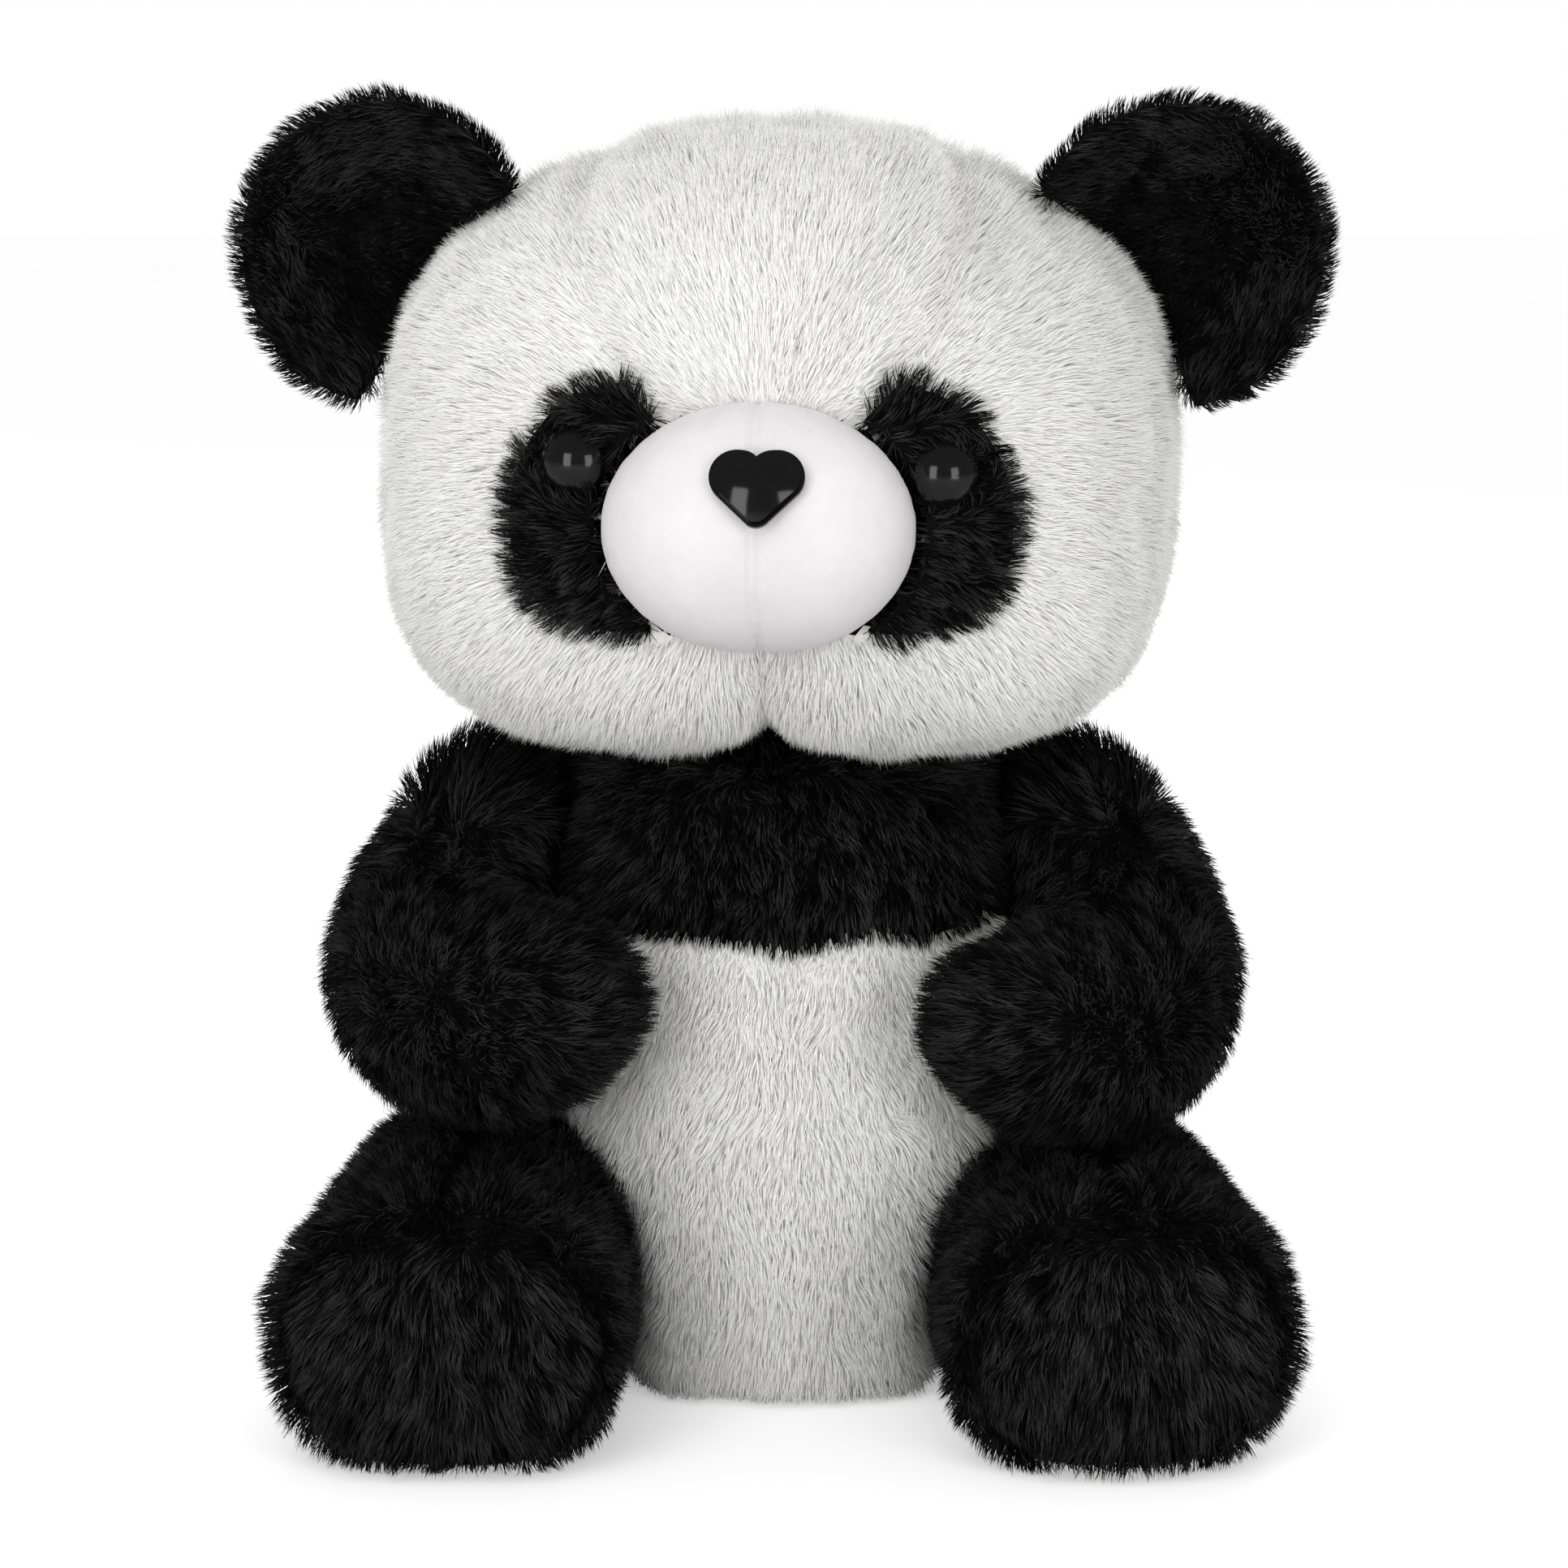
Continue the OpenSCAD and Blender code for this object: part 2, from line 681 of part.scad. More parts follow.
forehead_panel();
left_cheek_panel();
right_cheek_panel();
left_head_back_panel();
right_head_back_panel();
head_stuffing();
left_muzzle_panel();
right_muzzle_panel();
muzzle_stuffing();
nose();
nose_washer();
left_eye_patch();
right_eye_patch();
left_eye();
right_eye();
eye_washers();
left_ear_front();
left_ear_back();
right_ear_front();
right_ear_back();
chest_panel();
belly_panel();
left_upper_back_panel();
right_upper_back_panel();
left_lower_back_panel();
right_lower_back_panel();
base_panel();
body_stuffing();
tail();
care_label();
left_arm_outer_panel();
left_arm_inner_panel();
left_arm_stuffing();
right_arm_outer_panel();
right_arm_inner_panel();
right_arm_stuffing();
left_leg_outer_panel();
left_leg_inner_panel();
left_sole();
left_leg_stuffing();
right_leg_outer_panel();
right_leg_inner_panel();
right_sole();
right_leg_stuffing();
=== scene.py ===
"""Looks of the sitting plush panda: stuffed skins, mesh fur, safety eyes and nose, light and camera."""

import math
from dataclasses import dataclass

import bpy
import numpy as np
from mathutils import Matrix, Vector
from mathutils.bvhtree import BVHTree
from mathutils.kdtree import KDTree

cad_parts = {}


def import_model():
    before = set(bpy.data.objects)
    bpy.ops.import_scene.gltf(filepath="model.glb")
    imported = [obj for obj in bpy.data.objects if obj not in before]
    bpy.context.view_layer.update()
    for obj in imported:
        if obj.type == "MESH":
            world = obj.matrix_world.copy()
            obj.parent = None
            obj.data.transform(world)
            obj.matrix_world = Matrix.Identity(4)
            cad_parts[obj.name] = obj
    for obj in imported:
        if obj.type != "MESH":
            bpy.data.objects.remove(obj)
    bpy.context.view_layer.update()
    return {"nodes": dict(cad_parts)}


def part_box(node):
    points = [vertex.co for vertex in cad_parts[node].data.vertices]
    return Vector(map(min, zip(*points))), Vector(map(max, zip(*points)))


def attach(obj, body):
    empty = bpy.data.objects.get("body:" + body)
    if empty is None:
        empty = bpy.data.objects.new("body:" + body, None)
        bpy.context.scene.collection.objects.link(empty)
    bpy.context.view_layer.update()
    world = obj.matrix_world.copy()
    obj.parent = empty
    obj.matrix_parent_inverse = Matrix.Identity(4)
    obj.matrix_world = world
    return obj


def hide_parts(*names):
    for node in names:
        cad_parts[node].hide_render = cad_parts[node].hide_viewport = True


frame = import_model()

MM = 0.001
DOWN = np.array([0, 0, -1.0])

CAMERA_TARGET = (0.0, 0.024, 0.169)
CAMERA_DISTANCE = 1.45
CAMERA_RISE = 11
CAMERA_ANGLE = 17.9

FLOOR_CLEARANCE = 0.4 * MM
FLOOR_GLOW = 0.44
SIDES = {"left": 1, "right": -1}
FUR_SHARE = 1.0
# Most strands in one mesh: each has 10 triangles
STRANDS_PER_PIECE = 19500
# Share of its length that a strand loses in a seam
SEAM_TRIM = 0.4
# How strongly short strands, deep in the pile in seams, round the eyes and in an ear's hollow, take the
# darker tones: painted shade
DEEP_PILE_PAINTED_SHADE = 2.2
# A strand needs this much free height over its root
PRESSED = 2 * MM
# Reach of the black pile in the gap between the muzzle and an eye patch
PATCH_GAP = 5.5 * MM
# Distance from the middle of an eye at which the pile leans over it the most
EYE_RING = 11 * MM
LABEL_CURL = 2.5 * MM
# A point this far below its neighbours has fallen through a seam
SLIT_DEPTH = 0.4 * MM
# Number of times that a ball's triangles are halved before it is drawn in
BALL_SPLITS = 6

# Bare cloth: no pile grows this near the floor on skin that faces down more steeply than this
REST_HEIGHT = 2.5 * MM
FACES_DOWN = -0.5
# Strands trimmed to less than this share of their length are left out
SHORTEST = 0.05
# Waves over the skin: the first is a strength, the second a size and the third a random seed
WAVE_COUNT = 9
LEAN_WAVE = (6, 30 * MM, 3)
STRAY_WAVES = ((0.28, 45 * MM, 5), (0.32, 14 * MM, 6))
LENGTH_WAVE = (0.12, 20 * MM, 8)
TONE_WAVE = (0.5, 9 * MM, 11)
# How far single strands differ from their neighbours in way, length, pull to the tuft and tone
WAY_JITTER = 0.16
LENGTH_RANGE = (0.72, 1.12)
PULL_RANGE = (0.5, 1)
TONE_JITTER = 0.6
# A strand bends at this share of its length, where it stands this much higher and is this much as thick
BEND_AT = 0.52
BEND_RISE = 0.09
BEND_THICKNESS = 0.85
# Faces of a strand with root points 0 to 2, middle points 3 to 5 and tip 6
STRAND_POINTS = 7
STRAND_FACES = [(0, 1, 4, 3), (1, 2, 5, 4), (2, 0, 3, 5), (3, 4, 6), (4, 5, 6), (5, 3, 6), (2, 1, 0)]
# First random seed of the fur on each part
SEEDS = {"head": 20, "torso": 40, "tail": 60, "patch": 70, "ear": 80, "arm": 90, "leg": 100, "sole": 110}


# ---------- meshes ----------


def mesh_object(name, points, faces):
    """A new mesh object from points and faces in the row frame."""
    mesh = bpy.data.meshes.new(name)
    mesh.from_pydata([tuple(p) for p in points], [], [tuple(f) for f in faces])
    mesh.update()
    obj = bpy.data.objects.new(name, mesh)
    bpy.context.collection.objects.link(obj)
    return obj


def points_of(mesh):
    points = np.empty(len(mesh.vertices) * 3)
    mesh.vertices.foreach_get("co", points)
    return points.reshape(-1, 3)


def normals_of(mesh):
    normals = np.empty(len(mesh.vertices) * 3)
    mesh.vertex_normals.foreach_get("vector", normals)
    return normals.reshape(-1, 3)


def triangles_of(mesh):
    """Point numbers of each triangle, and the number of the face that each triangle belongs to."""
    mesh.calc_loop_triangles()
    count = len(mesh.loop_triangles)
    corners = np.empty(count * 3, np.int32)
    owners = np.empty(count, np.int32)
    mesh.loop_triangles.foreach_get("vertices", corners)
    mesh.loop_triangles.foreach_get("polygon_index", owners)
    return corners.reshape(-1, 3), owners


def edges_of(mesh):
    edges = np.empty(len(mesh.edges) * 2, np.int32)
    mesh.edges.foreach_get("vertices", edges)
    return edges.reshape(-1, 2)


def set_points(mesh, points):
    mesh.vertices.foreach_set("co", points.ravel())
    mesh.update()


def unit(vectors):
    return vectors / np.maximum(np.linalg.norm(vectors, axis=-1, keepdims=True), 1e-9)


def mix(a, b, share):
    return a + (b - a) * share


def bell(values, width):
    """1 at zero, falling off smoothly over the width on both sides."""
    return np.exp(-((values / width) ** 2))


def apply_modifiers(obj):
    """Bakes the modifiers of obj into its mesh."""
    graph = bpy.context.evaluated_depsgraph_get()
    made = bpy.data.meshes.new_from_object(obj.evaluated_get(graph))
    obj.modifiers.clear()
    obj.data = made


def outer_island(obj):
    """Keeps only the connected part of the mesh that reaches furthest out, so no inner walls are left."""
    mesh = obj.data
    label = np.arange(len(mesh.vertices))
    edges = edges_of(mesh)
    while True:
        lowest = label.copy()
        np.minimum.at(lowest, edges[:, 0], label[edges[:, 1]])
        np.minimum.at(lowest, edges[:, 1], label[edges[:, 0]])
        lowest = lowest[lowest]
        if (lowest == label).all():
            break
        label = lowest
    outer = label[points_of(mesh)[:, 0].argmax()]
    faces = [p.vertices[:] for p in mesh.polygons if label[p.vertices[0]] == outer]
    used = np.flatnonzero(label == outer)
    new_number = np.zeros(len(label), int)
    new_number[used] = np.arange(len(used))
    points = points_of(mesh)[used]
    kept = bpy.data.meshes.new(obj.name)
    kept.from_pydata(points.tolist(), [], [[int(new_number[v]) for v in f] for f in faces])
    kept.update()
    obj.data = kept


def centre_of(node):
    low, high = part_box(node)
    return (np.array(low) + np.array(high)) / 2


def cad_tree(node):
    """Nearest-point search on one CAD node."""
    mesh = frame["nodes"][node].data
    return BVHTree.FromPolygons(points_of(mesh).tolist(), triangles_of(mesh)[0].tolist())


def skin_tree(obj):
    return BVHTree.FromPolygons(points_of(obj.data).tolist(), triangles_of(obj.data)[0].tolist())


def distances(points, tree):
    return np.array([tree.find_nearest(p)[3] for p in points.tolist()])


def depths(points, tree):
    """How far each point lies inside a closed skin: positive inside, negative outside."""
    found = [tree.find_nearest(p) for p in points.tolist()]
    near = np.array([f[0] for f in found])
    normals = np.array([f[1] for f in found])
    return -((points - near) * normals).sum(1)


def clear_of(tree, margin):
    """A test of places: further than the margin outside a closed skin."""
    return lambda places: depths(places, tree) < -margin


# ---------- stuffed skins ----------


@dataclass
class Skin:
    """A stuffed part.

    obj is its mesh, panels its CAD panels, region the panel of each face, and near_seam the nearness of each
    point to a seam, from 0 to 1.
    """

    obj: object
    panels: list
    region: np.ndarray
    near_seam: np.ndarray


def joined(nodes, grown=(), grow=0.0):
    """Points and triangles of several CAD nodes together, with the grown ones swollen along their normals."""
    points, faces = [], []
    for node in nodes:
        mesh = frame["nodes"][node].data
        places = points_of(mesh) + (normals_of(mesh) * grow if node in grown else 0)
        faces.append(triangles_of(mesh)[0] + sum(len(p) for p in points))
        points.append(places)
    return np.vstack(points), np.vstack(faces)


def ease(obj, times):
    smooth = obj.modifiers.new("ease", "SMOOTH")
    smooth.iterations = times
    smooth.factor = 0.5
    apply_modifiers(obj)


def wrap(name, panels, filling, voxel, grow=0.0):
    """One closed skin around the CAD panels of a part and the filling inside them, swollen by grow."""
    obj = mesh_object(name, *joined(panels + filling, filling, grow))
    remesh = obj.modifiers.new("wrap", "REMESH")
    remesh.mode = "VOXEL"
    remesh.voxel_size = voxel
    apply_modifiers(obj)
    outer_island(obj)
    return obj


def fill_slits(reach, edges, passes=10):
    """Lifts the places that fell through a slit between two panels to the level of their neighbours."""
    ends = np.concatenate([edges, edges[:, ::-1]])
    count = np.bincount(ends[:, 0], minlength=len(reach))
    for _ in range(passes):
        around = np.bincount(ends[:, 0], reach[ends[:, 1]], len(reach)) / count
        reach = np.where(reach < around - SLIT_DEPTH, around, reach)
    return reach


def shrink_ball(name, panels, filling):
    """A fine ball drawn in from all around onto a part that has one middle, so openings get closed."""
    bpy.ops.mesh.primitive_ico_sphere_add(subdivisions=BALL_SPLITS, radius=1)
    obj = bpy.context.object
    obj.name = obj.data.name = name
    points, faces = joined(panels + filling)
    tree = BVHTree.FromPolygons(points.tolist(), faces.tolist())
    middle = centre_of(filling[0])
    ways = unit(points_of(obj.data))
    hits = [tree.ray_cast(middle + way * 0.5, -Vector(way))[0] for way in ways]
    reach = np.linalg.norm(np.array(hits, float) - middle, axis=1)
    set_points(obj.data, middle + ways * fill_slits(reach, edges_of(obj.data))[:, None])
    return obj


def pull_seams(obj, panels, depth, width):
    """Draws the skin in along the seams between panels.

    Returns the panel that each face lies on, and how near each point is to a seam, from 0 to 1.
    """
    if len(panels) == 1:
        return np.zeros(len(obj.data.polygons), int), np.zeros(len(obj.data.vertices))
    points = points_of(obj.data)
    away = np.array([distances(points, cad_tree(node)) for node in panels])
    nearest, second = np.sort(away, axis=0)[:2]
    seam = bell(second - nearest, width)
    set_points(obj.data, points - normals_of(obj.data) * seam[:, None] * depth)
    closest = away.argmin(axis=0)
    return np.array([closest[p.vertices[0]] for p in obj.data.polygons]), seam


def stuffed(obj, panels, filling=(), seam=2 * MM, width=4 * MM, smooth=6):
    """Finishes the skin of a stuffed part: eases it, sews its seams and lets it stand for its CAD nodes."""
    ease(obj, smooth)
    region, near_seam = pull_seams(obj, panels, seam, width)
    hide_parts(*panels, *filling)
    return Skin(obj, panels, region, near_seam)


# ---------- fur ----------


@dataclass
class Coat:
    """One kind of pile, in metres, degrees and strands per square metre.

    Tufts of the size clump draw their strands together by the share pull. wander is how far the lie strays,
    and follow_skin how far the strands take the skin's own shading.
    """

    length: float
    density: float
    radius: float
    lean: float
    clump: float
    pull: float
    wander: float
    follow_skin: float
    tones: list
    slot: str


def waves(points, size, seed):
    """A smooth random vector at each point, with features of about the given size."""
    rng = np.random.default_rng(seed)
    ways = unit(rng.normal(size=(WAVE_COUNT, 3)))
    ways = ways * rng.uniform(0.7, 1.5, (WAVE_COUNT, 1)) * (2 * math.pi / size)
    phases = rng.uniform(0, 2 * math.pi, (WAVE_COUNT, 3))
    angles = points @ ways.T
    return np.sin(angles[:, :, None] + phases[None]).sum(1) / math.sqrt(WAVE_COUNT)


def wave(points, strength, size, seed):
    """One smooth random number at each point, in a column."""
    return strength * waves(points, size, seed)[:, :1]


def scatter(skin, panel, density, rng):
    """Evenly spread points on one panel of a skin, with the skin's normals and nearness to a seam there."""
    mesh = skin.obj.data
    corners, owners = triangles_of(mesh)
    corners = corners[skin.region[owners] == skin.panels.index(panel)]
    points, normals, seam = points_of(mesh)[corners], normals_of(mesh)[corners], skin.near_seam[corners]
    areas = np.linalg.norm(np.cross(points[:, 1] - points[:, 0], points[:, 2] - points[:, 0]), axis=1) / 2
    count = int(areas.sum() * density * FUR_SHARE)
    chosen = rng.choice(len(corners), count, p=areas / areas.sum())
    a, b = rng.random((2, count, 1))
    over = a + b > 1
    a, b = np.where(over, 1 - a, a), np.where(over, 1 - b, b)
    share = np.stack([1 - a - b, a, b], axis=1)
    near_seam = (seam[chosen] * share[..., 0]).sum(1)
    return (points[chosen] * share).sum(1), unit((normals[chosen] * share).sum(1)), near_seam


def along_skin(vectors, normals):
    """The part of each vector that lies in the skin."""
    return unit(vectors - normals * (vectors * normals).sum(1, keepdims=True))


def clump_centres(roots, clump, rng, area_per_root):
    """For each root, the number of the root that its tuft gathers around."""
    count = max(1, int(len(roots) * area_per_root / (clump * clump)))
    count = min(count, len(roots))
    centres = rng.choice(len(roots), count, replace=False)
    tree = KDTree(count)
    for k, place in enumerate(roots[centres].tolist()):
        tree.insert(place, k)
    tree.balance()
    return centres[np.array([tree.find(p)[1] for p in roots.tolist()])]


def strand_points(roots, normals, nap, coat, thin, rng):
    """Middle and tip of each strand: strands lean with the nap, wander, and gather into tufts."""
    count = len(roots)
    lean = np.radians(coat.lean + coat.wander * wave(roots, *LEAN_WAVE))
    stray = sum(strength * waves(roots, size, seed) for strength, size, seed in STRAY_WAVES)
    nap = along_skin(nap + coat.wander * stray, normals)
    ways = unit(normals * np.cos(lean) + nap * np.sin(lean))
    length = coat.length * (1 + wave(roots, *LENGTH_WAVE))
    centre = clump_centres(roots, coat.clump, rng, 1 / (coat.density * thin * FUR_SHARE))
    own = unit(ways + WAY_JITTER * rng.normal(size=(count, 3)))
    reach = length * rng.uniform(*LENGTH_RANGE, (count, 1))
    free_tip = roots + own * reach
    tuft_tip = roots[centre] + ways[centre] * length[centre]
    tip = mix(free_tip, tuft_tip, coat.pull * rng.uniform(*PULL_RANGE, (count, 1)))
    middle = mix(roots, tip, BEND_AT) + normals * reach * BEND_RISE
    return middle, tip, centre


def strand_mesh(name, roots, normals, middle, tip, coat, tone):
    """Closed three-sided strands, bent at the middle and pointed at the tip, one material per tone."""
    count = len(roots)
    along = unit(tip - roots)
    across = unit(np.cross(along, normals + 0.3 * along[:, [1, 2, 0]]))
    up = np.cross(along, across)
    sides = []
    for turn in (0, 120, 240):
        spin = math.radians(turn + 90)
        sides.append(across * math.cos(spin) + up * math.sin(spin))
    sides = np.stack(sides, axis=1)
    low = roots[:, None] + sides * coat.radius - normals[:, None] * coat.radius
    high = middle[:, None] + sides * coat.radius * BEND_THICKNESS
    points = np.concatenate([low, high, tip[:, None]], axis=1)
    points[..., 2] = np.maximum(points[..., 2], FLOOR_CLEARANCE)
    round_normals = np.concatenate([sides, sides, along[:, None]], axis=1)
    shading = unit(mix(round_normals, normals[:, None], coat.follow_skin))

    pattern = np.concatenate(STRAND_FACES)
    starts = np.cumsum([0] + [len(face) for face in STRAND_FACES[:-1]])
    strand = np.arange(count)[:, None]
    corners = (pattern[None] + STRAND_POINTS * strand).astype(np.int32)
    first = (starts[None] + len(pattern) * strand).astype(np.int32)
    mesh = bpy.data.meshes.new(name)
    mesh.vertices.add(count * STRAND_POINTS)
    mesh.vertices.foreach_set("co", points.astype(np.float32).ravel())
    mesh.loops.add(corners.size)
    mesh.loops.foreach_set("vertex_index", corners.ravel())
    mesh.polygons.add(first.size)
    mesh.polygons.foreach_set("loop_start", first.ravel())
    mesh.polygons.foreach_set("material_index", np.repeat(tone, len(starts)).astype(np.int32))
    mesh.update(calc_edges=True)
    custom = mesh.attributes.new("custom_normal", "FLOAT_VECTOR", "POINT")
    custom.data.foreach_set("vector", shading.astype(np.float32).ravel())
    obj = bpy.data.objects.new(name, mesh)
    bpy.context.collection.objects.link(obj)
    return obj


def grow(name, body, skin, panel, coat, nap, keep_out=(), seed=1, trim=None, thin=1.0):
    """Fur of one panel, in pieces of a handy size.

    nap gives its lie, keep_out the tests its roots must pass, trim a length factor and thin a density factor.
    """
    rng = np.random.default_rng(seed)
    roots, normals, near_seam = scatter(skin, panel, coat.density * thin, rng)
    keep = (roots[:, 2] > REST_HEIGHT) | (normals[:, 2] > FACES_DOWN)
    for is_clear in keep_out:
        keep &= is_clear(roots + normals * PRESSED)
    share = 1 - SEAM_TRIM * near_seam
    if trim is not None:
        share *= trim(roots)
        keep &= share > SHORTEST
    roots, normals, share = roots[keep], normals[keep], share[keep, None]
    middle, tip, centre = strand_points(roots, normals, nap(roots, normals), coat, thin, rng)
    middle, tip = mix(roots, middle, share), mix(roots, tip, share)
    shade = wave(roots[centre], *TONE_WAVE)[:, 0] + rng.normal(0, TONE_JITTER, len(roots))
    # Painted shade: strands shortened in seams, round an eye or in an ear's hollow take the darker tones
    shade -= DEEP_PILE_PAINTED_SHADE * np.maximum(0, 1 - share[:, 0])
    tone = np.digitize(shade, np.quantile(shade, np.linspace(0, 1, len(coat.tones) + 1)[1:-1]))
    parts = max(1, math.ceil(len(roots) / STRANDS_PER_PIECE))
    for k in range(parts):
        own = slice(k, None, parts)
        part_name = f"{name}_{k + 1}" if parts > 1 else name
        fur = strand_mesh(part_name, roots[own], normals[own], middle[own], tip[own], coat, tone[own])
        for material in coat.tones:
            fur.data.materials.append(material)
        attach(fur, body)


# ---------- materials ----------


def new_material(name):
    material = bpy.data.materials.new(name)
    material.use_nodes = True
    return material, material.node_tree, material.node_tree.nodes["Principled BSDF"]


def set_inputs(shader, **values):
    for name, value in values.items():
        shader.inputs[name.replace("_", " ")].default_value = value


def fibre(name, colour, shine, sheen, roughness):
    """One tone of pile fibre."""
    material, _, shader = new_material(name)
    set_inputs(shader, Base_Color=(*colour, 1), Roughness=roughness, Specular_IOR_Level=shine)
    set_inputs(shader, Sheen_Weight=sheen, Sheen_Roughness=0.45)
    return material


def fibres(name, colours, sheen, roughness):
    """The tones of one pile: the darker a fibre, the less it shines. The darker tones are painted shade on
    the short strands deep in the pile, and random tone elsewhere.
    """
    shines = np.linspace(0.03, 0.3, len(colours))
    pairs = enumerate(zip(colours, shines))
    return [fibre(f"{name}_{k}", colour, float(shine), sheen, roughness) for k, (colour, shine) in pairs]


def noise(tree, scale, detail, rough=0.6):
    """Noise over the object's own coordinates. scale is in features per metre."""
    coords = tree.nodes.new("ShaderNodeTexCoord")
    node = tree.nodes.new("ShaderNodeTexNoise")
    tree.links.new(coords.outputs["Object"], node.inputs["Vector"])
    set_inputs(node, Scale=scale, Detail=detail, Roughness=rough)
    return node


def ramp(tree, factor, stops):
    node = tree.nodes.new("ShaderNodeValToRGB")
    points = node.color_ramp.elements
    while len(points) < len(stops):
        points.new(0.5)
    for point, (place, colour) in zip(points, stops):
        point.position = place
        point.color = (*colour, 1)
    tree.links.new(factor, node.inputs["Fac"])
    return node


def bump(tree, shader, height, strength, distance):
    node = tree.nodes.new("ShaderNodeBump")
    set_inputs(node, Strength=strength, Distance=distance)
    tree.links.new(height, node.inputs["Height"])
    tree.links.new(node.outputs["Normal"], shader.inputs["Normal"])


def pile_base(name, dark, light, fine, strength, sheen=0.0):
    """Backing cloth with the dense root of its pile: mottled, matt and finely rough."""
    material, tree, shader = new_material(name)
    patches = noise(tree, 90, 3)
    colour = ramp(tree, patches.outputs["Fac"], [(0.3, dark), (0.7, light)])
    tree.links.new(colour.outputs["Color"], shader.inputs["Base Color"])
    bump(tree, shader, noise(tree, fine, 4, 0.75).outputs["Fac"], strength, 0.6 * MM)
    set_inputs(shader, Roughness=0.95, Specular_IOR_Level=0.1, Sheen_Weight=sheen)
    return material


def moulded(name, colour, roughness, specular):
    """Injection-moulded plastic with a faint orange-peel surface."""
    material, tree, shader = new_material(name)
    tint = ramp(tree, noise(tree, 400, 2).outputs["Fac"], [(0.3, colour), (0.7, [1.35 * c for c in colour])])
    tree.links.new(tint.outputs["Color"], shader.inputs["Base Color"])
    bump(tree, shader, noise(tree, 260, 2).outputs["Fac"], 0.05, 0.2 * MM)
    set_inputs(shader, Roughness=roughness, Specular_IOR_Level=specular)
    return material


WHITE_TONES = [(0.945, 0.94, 0.925), (0.96, 0.956, 0.944), (0.972, 0.968, 0.958), (0.98, 0.977, 0.97)]
BLACK_TONES = [
    (0.0005, 0.0005, 0.0006), (0.0012, 0.0012, 0.0013), (0.0035, 0.0032, 0.0034), (0.016, 0.0143, 0.0143)
]
# Painted shade: the white tones made 5% darker for the belly, which lies in the shade of the head and arms;
# the lower back and the tail take them too
BELLY_PAINTED_SHADE_TONES = [tuple(0.95 * value for value in tone) for tone in WHITE_TONES]

white_fibres = fibres("white_fibre", WHITE_TONES, 0.0, 0.9)
belly_painted_shade_fibres = fibres("belly_painted_shade_fibre", BELLY_PAINTED_SHADE_TONES, 0.0, 0.9)
black_fibres = fibres("black_fibre", BLACK_TONES, 0.02, 0.42)
white_base = pile_base("white_plush", (0.94, 0.935, 0.92), (0.965, 0.96, 0.95), 2200, 0.4)
black_base = pile_base("black_plush", (0.002, 0.002, 0.002), (0.006, 0.0052, 0.005), 2200, 0.6)
velboa = pile_base("velboa", (0.70, 0.685, 0.695), (0.74, 0.726, 0.734), 3800, 0.35, 0.1)
black_plastic = moulded("black_plastic", (0.003, 0.003, 0.0035), 0.12, 0.32)
washer_plastic = moulded("washer_plastic", (0.7, 0.7, 0.66), 0.45, 0.5)
label_tape = pile_base("label_tape", (0.74, 0.74, 0.72), (0.85, 0.85, 0.83), 5000, 0.3)

HEAD_WHITE = Coat(8.5 * MM, 1.9e6, 0.12 * MM, 46, 2.4 * MM, 0.25, 0.5, 0.97, white_fibres, "white_plush")
# White pile of the body and tail, in the darker tones of painted shade
BELLY_PAINTED_SHADE_WHITE = Coat(8.5 * MM, 1.6e6, 0.13 * MM, 46, 2.8 * MM, 0.35, 0.8, 0.94, belly_painted_shade_fibres, "white_plush")
LONG_BLACK = Coat(9.5 * MM, 1.05e6, 0.18 * MM, 42, 3.0 * MM, 0.5, 1.0, 0.45, black_fibres, "black_plush")
PATCH_BLACK = Coat(7.5 * MM, 1.7e6, 0.16 * MM, 36, 2.8 * MM, 0.5, 1.0, 0.45, black_fibres, "black_plush")
# Share of the pile that the back of the toy gets
BACK_THIN = 0.7


# ---------- the parts ----------


HEAD_PAIRS = ("cheek_panel", "head_back_panel")
HEAD_PANELS = ["forehead_panel"] + [f"{side}_{panel}" for panel in HEAD_PAIRS for side in SIDES]
WHITE_TORSO = ["belly_panel", "left_lower_back_panel", "right_lower_back_panel", "base_panel"]
BLACK_TORSO = ["chest_panel", "left_upper_back_panel", "right_upper_back_panel"]

head_nodes = (HEAD_PANELS, ["head_stuffing"])
torso_nodes = (WHITE_TORSO + BLACK_TORSO, ["body_stuffing"])
muzzle_nodes = (["left_muzzle_panel", "right_muzzle_panel"], ["muzzle_stuffing"])
head = stuffed(shrink_ball("head_skin", *head_nodes), *head_nodes, seam=2.2 * MM, width=5 * MM)
torso = stuffed(shrink_ball("torso_skin", *torso_nodes), *torso_nodes, seam=1.5 * MM, width=4 * MM)
muzzle = stuffed(
    wrap("muzzle_skin", *muzzle_nodes, voxel=1.1 * MM, grow=1 * MM),
    *muzzle_nodes, seam=1 * MM, width=1.5 * MM, smooth=16,
)
tail = stuffed(wrap("tail_skin", ["tail"], [], voxel=2 * MM), ["tail"])
limbs = {}
patches = {}
ears = {}
